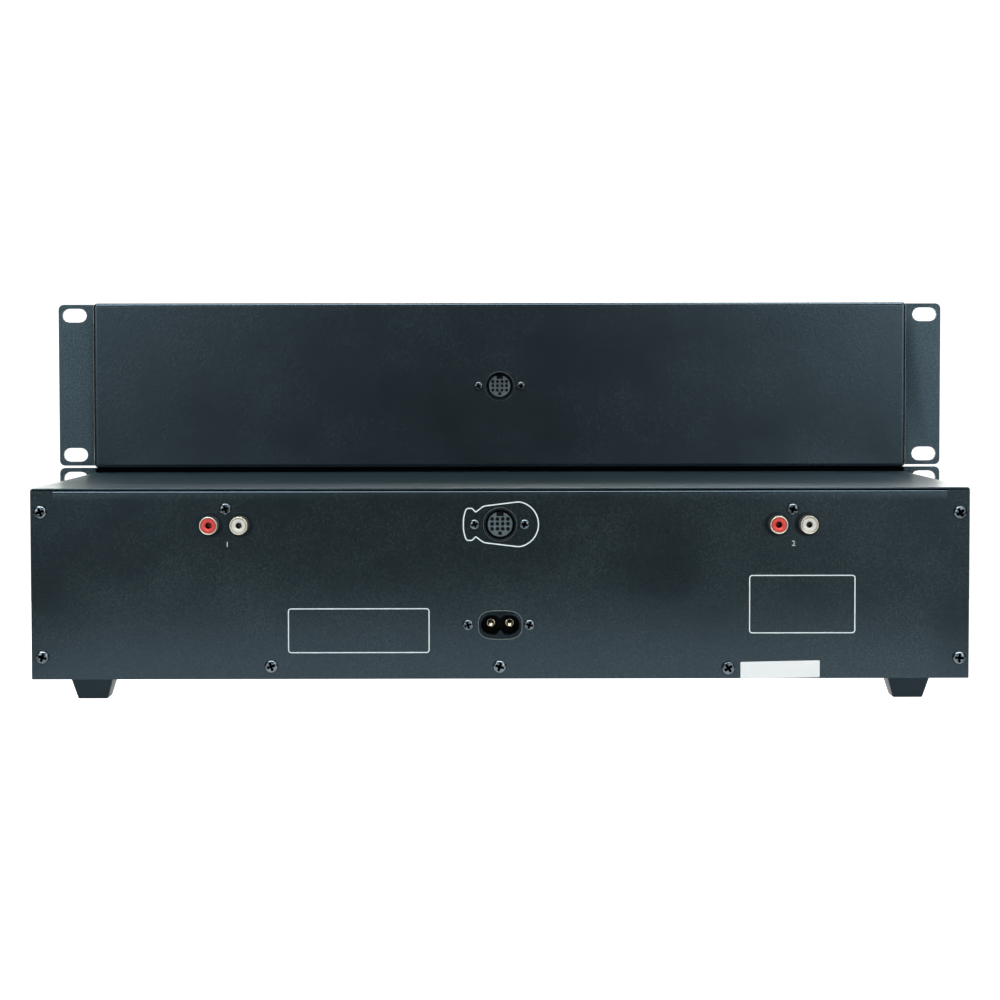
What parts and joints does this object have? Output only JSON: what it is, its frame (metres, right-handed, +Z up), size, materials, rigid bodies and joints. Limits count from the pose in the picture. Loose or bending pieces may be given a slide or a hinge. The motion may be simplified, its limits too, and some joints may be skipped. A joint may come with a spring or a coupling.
{
  "type": "double disc player",
  "caption": "Two-piece player for a rack: a drive unit with disc trays and rear sockets on feet, and a control unit with jog wheels standing on its lid.",
  "frame": {"origin": "on the ground under the middle of the player, at the centre of its bounding box", "axes": "+Z up; the front panels face -Y and the sockets +Y; +X is the right side as seen from the front"},
  "size_m": [0.4826, 0.276, 0.1866],
  "materials": {
    "black_steel": "fine textured powder coat",
    "black_panel": "fine textured powder coat",
    "black_plastic": "semi-matt moulding",
    "dark_plastic": "fine matt moulding",
    "grey_plastic": "fine matt moulding",
    "rubber": "matt",
    "zinc": "zinc-plated sheet",
    "board_green": "solder resist",
    "core_steel": "varnished laminations",
    "white_plastic": "self-coloured gear plastic",
    "smoked_window": "clear smoked pane",
    "key_green": "translucent key",
    "key_amber": "translucent key"
  },
  "bodies": {
    "drive_unit": {"drive_base": "black_steel", "drive_cover": "black_steel", "drive_rear_panel": "black_panel", "drive_front_panel": "black_panel", "foot_front_left": "rubber", "foot_front_right": "rubber", "foot_rear_left": "rubber", "foot_rear_right": "rubber", "line_out_left": "black_plastic", "line_out_right": "black_plastic", "drive_link_socket": "black_plastic", "mains_inlet": "black_plastic", "main_board": "board_green", "power_board": "board_green", "mains_transformer": "core_steel", "loader_frame_left": "dark_plastic", "loader_frame_right": "dark_plastic", "loading_motor_left": "zinc", "loading_motor_right": "zinc", "clamp_bridge_left": "zinc", "clamp_bridge_right": "zinc"},
    "control_unit": {"control_panel": "black_panel", "control_box": "black_steel", "rest_pad_left": "rubber", "rest_pad_right": "rubber", "control_board": "board_green", "control_link_socket": "black_plastic", "display_window_left": "smoked_window", "display_window_right": "smoked_window"},
    "power_button": {"power_button": "dark_plastic"},
    "tray_left": {"tray_left": "dark_plastic", "tray_door_left": "black_panel"},
    "loading_gear_left": {"loading_gear_left": "white_plastic"},
    "pickup_left": {"pickup_frame_left": "zinc"},
    "turntable_left": {"turntable_left": "dark_plastic"},
    "laser_sled_left": {"laser_sled_left": "black_plastic"},
    "clamp_puck_left": {"clamp_puck_left": "black_plastic"},
    "open_button_left": {"open_button_left": "grey_plastic"},
    "tray_right": {"tray_right": "dark_plastic", "tray_door_right": "black_panel"},
    "loading_gear_right": {"loading_gear_right": "white_plastic"},
    "pickup_right": {"pickup_frame_right": "zinc"},
    "turntable_right": {"turntable_right": "dark_plastic"},
    "laser_sled_right": {"laser_sled_right": "black_plastic"},
    "clamp_puck_right": {"clamp_puck_right": "black_plastic"},
    "open_button_right": {"open_button_right": "grey_plastic"},
    "jog_wheel_left": {"jog_wheel_left": "dark_plastic"},
    "pitch_slider_left": {"pitch_slider_left": "grey_plastic"},
    "play_button_left": {"play_button_left": "key_green"},
    "cue_button_left": {"cue_button_left": "key_amber"},
    "time_button_left": {"time_button_left": "grey_plastic"},
    "track_rocker_left": {"track_rocker_left": "grey_plastic"},
    "bend_rocker_left": {"bend_rocker_left": "grey_plastic"},
    "jog_wheel_right": {"jog_wheel_right": "dark_plastic"},
    "pitch_slider_right": {"pitch_slider_right": "grey_plastic"},
    "play_button_right": {"play_button_right": "key_green"},
    "cue_button_right": {"cue_button_right": "key_amber"},
    "time_button_right": {"time_button_right": "grey_plastic"},
    "track_rocker_right": {"track_rocker_right": "grey_plastic"},
    "bend_rocker_right": {"bend_rocker_right": "grey_plastic"}
  },
  "joints": [
    {"name": "control_unit_lift", "type": "slide", "parent": "drive_unit", "child": "control_unit", "axis": [0, 0, 1], "range_m": [0, 0.12]},
    {"name": "power_button_press", "type": "slide", "parent": "drive_unit", "child": "power_button", "axis": [0, 1, 0], "range_m": [0, 0.003], "stiffness_N_per_m": 300, "springref_m": -0.0006},
    {"name": "tray_left_slide", "type": "slide", "parent": "drive_unit", "child": "tray_left", "axis": [0, -1, 0], "range_m": [0, 0.145]},
    {"name": "loading_gear_left_turn", "type": "hinge", "parent": "drive_unit", "child": "loading_gear_left", "pos_m": [-0.078, -0.105, 0.039], "axis": [0, 0, -1], "range_deg": [0, 835]},
    {"name": "pickup_left_tilt", "type": "hinge", "parent": "drive_unit", "child": "pickup_left", "pos_m": [-0.118, 0.045, 0.042], "axis": [1, 0, 0], "range_deg": [0, 5.2]},
    {"name": "turntable_left_spin", "type": "hinge", "parent": "pickup_left", "child": "turntable_left", "pos_m": [-0.118, -0.049, 0.0605], "axis": [0, 0, 1], "continuous": true},
    {"name": "laser_sled_left_slide", "type": "slide", "parent": "pickup_left", "child": "laser_sled_left", "axis": [0, 1, 0], "range_m": [0, 0.034]},
    {"name": "clamp_puck_left_spin", "type": "hinge", "parent": "drive_unit", "child": "clamp_puck_left", "pos_m": [-0.118, -0.049, 0.0605], "axis": [0, 0, 1], "continuous": true},
    {"name": "open_button_left_press", "type": "slide", "parent": "drive_unit", "child": "open_button_left", "axis": [0, 1, 0], "range_m": [0, 0.001], "stiffness_N_per_m": 300, "springref_m": -0.0006},
    {"name": "tray_right_slide", "type": "slide", "parent": "drive_unit", "child": "tray_right", "axis": [0, -1, 0], "range_m": [0, 0.145]},
    {"name": "loading_gear_right_turn", "type": "hinge", "parent": "drive_unit", "child": "loading_gear_right", "pos_m": [0.158, -0.105, 0.039], "axis": [0, 0, -1], "range_deg": [0, 835]},
    {"name": "pickup_right_tilt", "type": "hinge", "parent": "drive_unit", "child": "pickup_right", "pos_m": [0.118, 0.045, 0.042], "axis": [1, 0, 0], "range_deg": [0, 5.2]},
    {"name": "turntable_right_spin", "type": "hinge", "parent": "pickup_right", "child": "turntable_right", "pos_m": [0.118, -0.049, 0.0605], "axis": [0, 0, 1], "continuous": true},
    {"name": "laser_sled_right_slide", "type": "slide", "parent": "pickup_right", "child": "laser_sled_right", "axis": [0, 1, 0], "range_m": [0, 0.034]},
    {"name": "clamp_puck_right_spin", "type": "hinge", "parent": "drive_unit", "child": "clamp_puck_right", "pos_m": [0.118, -0.049, 0.0605], "axis": [0, 0, 1], "continuous": true},
    {"name": "open_button_right_press", "type": "slide", "parent": "drive_unit", "child": "open_button_right", "axis": [0, 1, 0], "range_m": [0, 0.001], "stiffness_N_per_m": 300, "springref_m": -0.0006},
    {"name": "jog_wheel_left_spin", "type": "hinge", "parent": "control_unit", "child": "jog_wheel_left", "pos_m": [-0.08475, -0.124, 0.14055], "axis": [0, -1, 0], "continuous": true},
    {"name": "pitch_slider_left_slide", "type": "slide", "parent": "control_unit", "child": "pitch_slider_left", "axis": [0, 0, 1], "range_m": [-0.03, 0.03]},
    {"name": "play_button_left_press", "type": "slide", "parent": "control_unit", "child": "play_button_left", "axis": [0, 1, 0], "range_m": [0, 0.001], "stiffness_N_per_m": 300, "springref_m": -0.0006},
    {"name": "cue_button_left_press", "type": "slide", "parent": "control_unit", "child": "cue_button_left", "axis": [0, 1, 0], "range_m": [0, 0.001], "stiffness_N_per_m": 300, "springref_m": -0.0006},
    {"name": "time_button_left_press", "type": "slide", "parent": "control_unit", "child": "time_button_left", "axis": [0, 1, 0], "range_m": [0, 0.001], "stiffness_N_per_m": 300, "springref_m": -0.0006},
    {"name": "track_rocker_left_tip", "type": "hinge", "parent": "control_unit", "child": "track_rocker_left", "pos_m": [-0.18075, -0.121, 0.14105], "axis": [0, 0, 1], "range_deg": [-3, 3], "stiffness_Nm_per_rad": 0.05},
    {"name": "bend_rocker_left_tip", "type": "hinge", "parent": "control_unit", "child": "bend_rocker_left", "pos_m": [-0.15075, -0.121, 0.14105], "axis": [0, 0, 1], "range_deg": [-3, 3], "stiffness_Nm_per_rad": 0.05},
    {"name": "jog_wheel_right_spin", "type": "hinge", "parent": "control_unit", "child": "jog_wheel_right", "pos_m": [0.12875, -0.124, 0.14055], "axis": [0, -1, 0], "continuous": true},
    {"name": "pitch_slider_right_slide", "type": "slide", "parent": "control_unit", "child": "pitch_slider_right", "axis": [0, 0, 1], "range_m": [-0.03, 0.03]},
    {"name": "play_button_right_press", "type": "slide", "parent": "control_unit", "child": "play_button_right", "axis": [0, 1, 0], "range_m": [0, 0.001], "stiffness_N_per_m": 300, "springref_m": -0.0006},
    {"name": "cue_button_right_press", "type": "slide", "parent": "control_unit", "child": "cue_button_right", "axis": [0, 1, 0], "range_m": [0, 0.001], "stiffness_N_per_m": 300, "springref_m": -0.0006},
    {"name": "time_button_right_press", "type": "slide", "parent": "control_unit", "child": "time_button_right", "axis": [0, 1, 0], "range_m": [0, 0.001], "stiffness_N_per_m": 300, "springref_m": -0.0006},
    {"name": "track_rocker_right_tip", "type": "hinge", "parent": "control_unit", "child": "track_rocker_right", "pos_m": [0.03275, -0.121, 0.14105], "axis": [0, 0, 1], "range_deg": [-3, 3], "stiffness_Nm_per_rad": 0.05},
    {"name": "bend_rocker_right_tip", "type": "hinge", "parent": "control_unit", "child": "bend_rocker_right", "pos_m": [0.06275, -0.121, 0.14105], "axis": [0, 0, 1], "range_deg": [-3, 3], "stiffness_Nm_per_rad": 0.05}
  ],
  "couplings": [
    {"joint": "loading_gear_left_turn", "follows": "tray_left_slide", "rad_per_m": 100},
    {"joint": "pickup_left_tilt", "follows": "tray_left_slide", "rad_per_m": 0.6},
    {"joint": "clamp_puck_left_spin", "follows": "turntable_left_spin", "ratio": 1},
    {"joint": "loading_gear_right_turn", "follows": "tray_right_slide", "rad_per_m": 100},
    {"joint": "pickup_right_tilt", "follows": "tray_right_slide", "rad_per_m": 0.6},
    {"joint": "clamp_puck_right_spin", "follows": "turntable_right_spin", "ratio": 1}
  ]
}
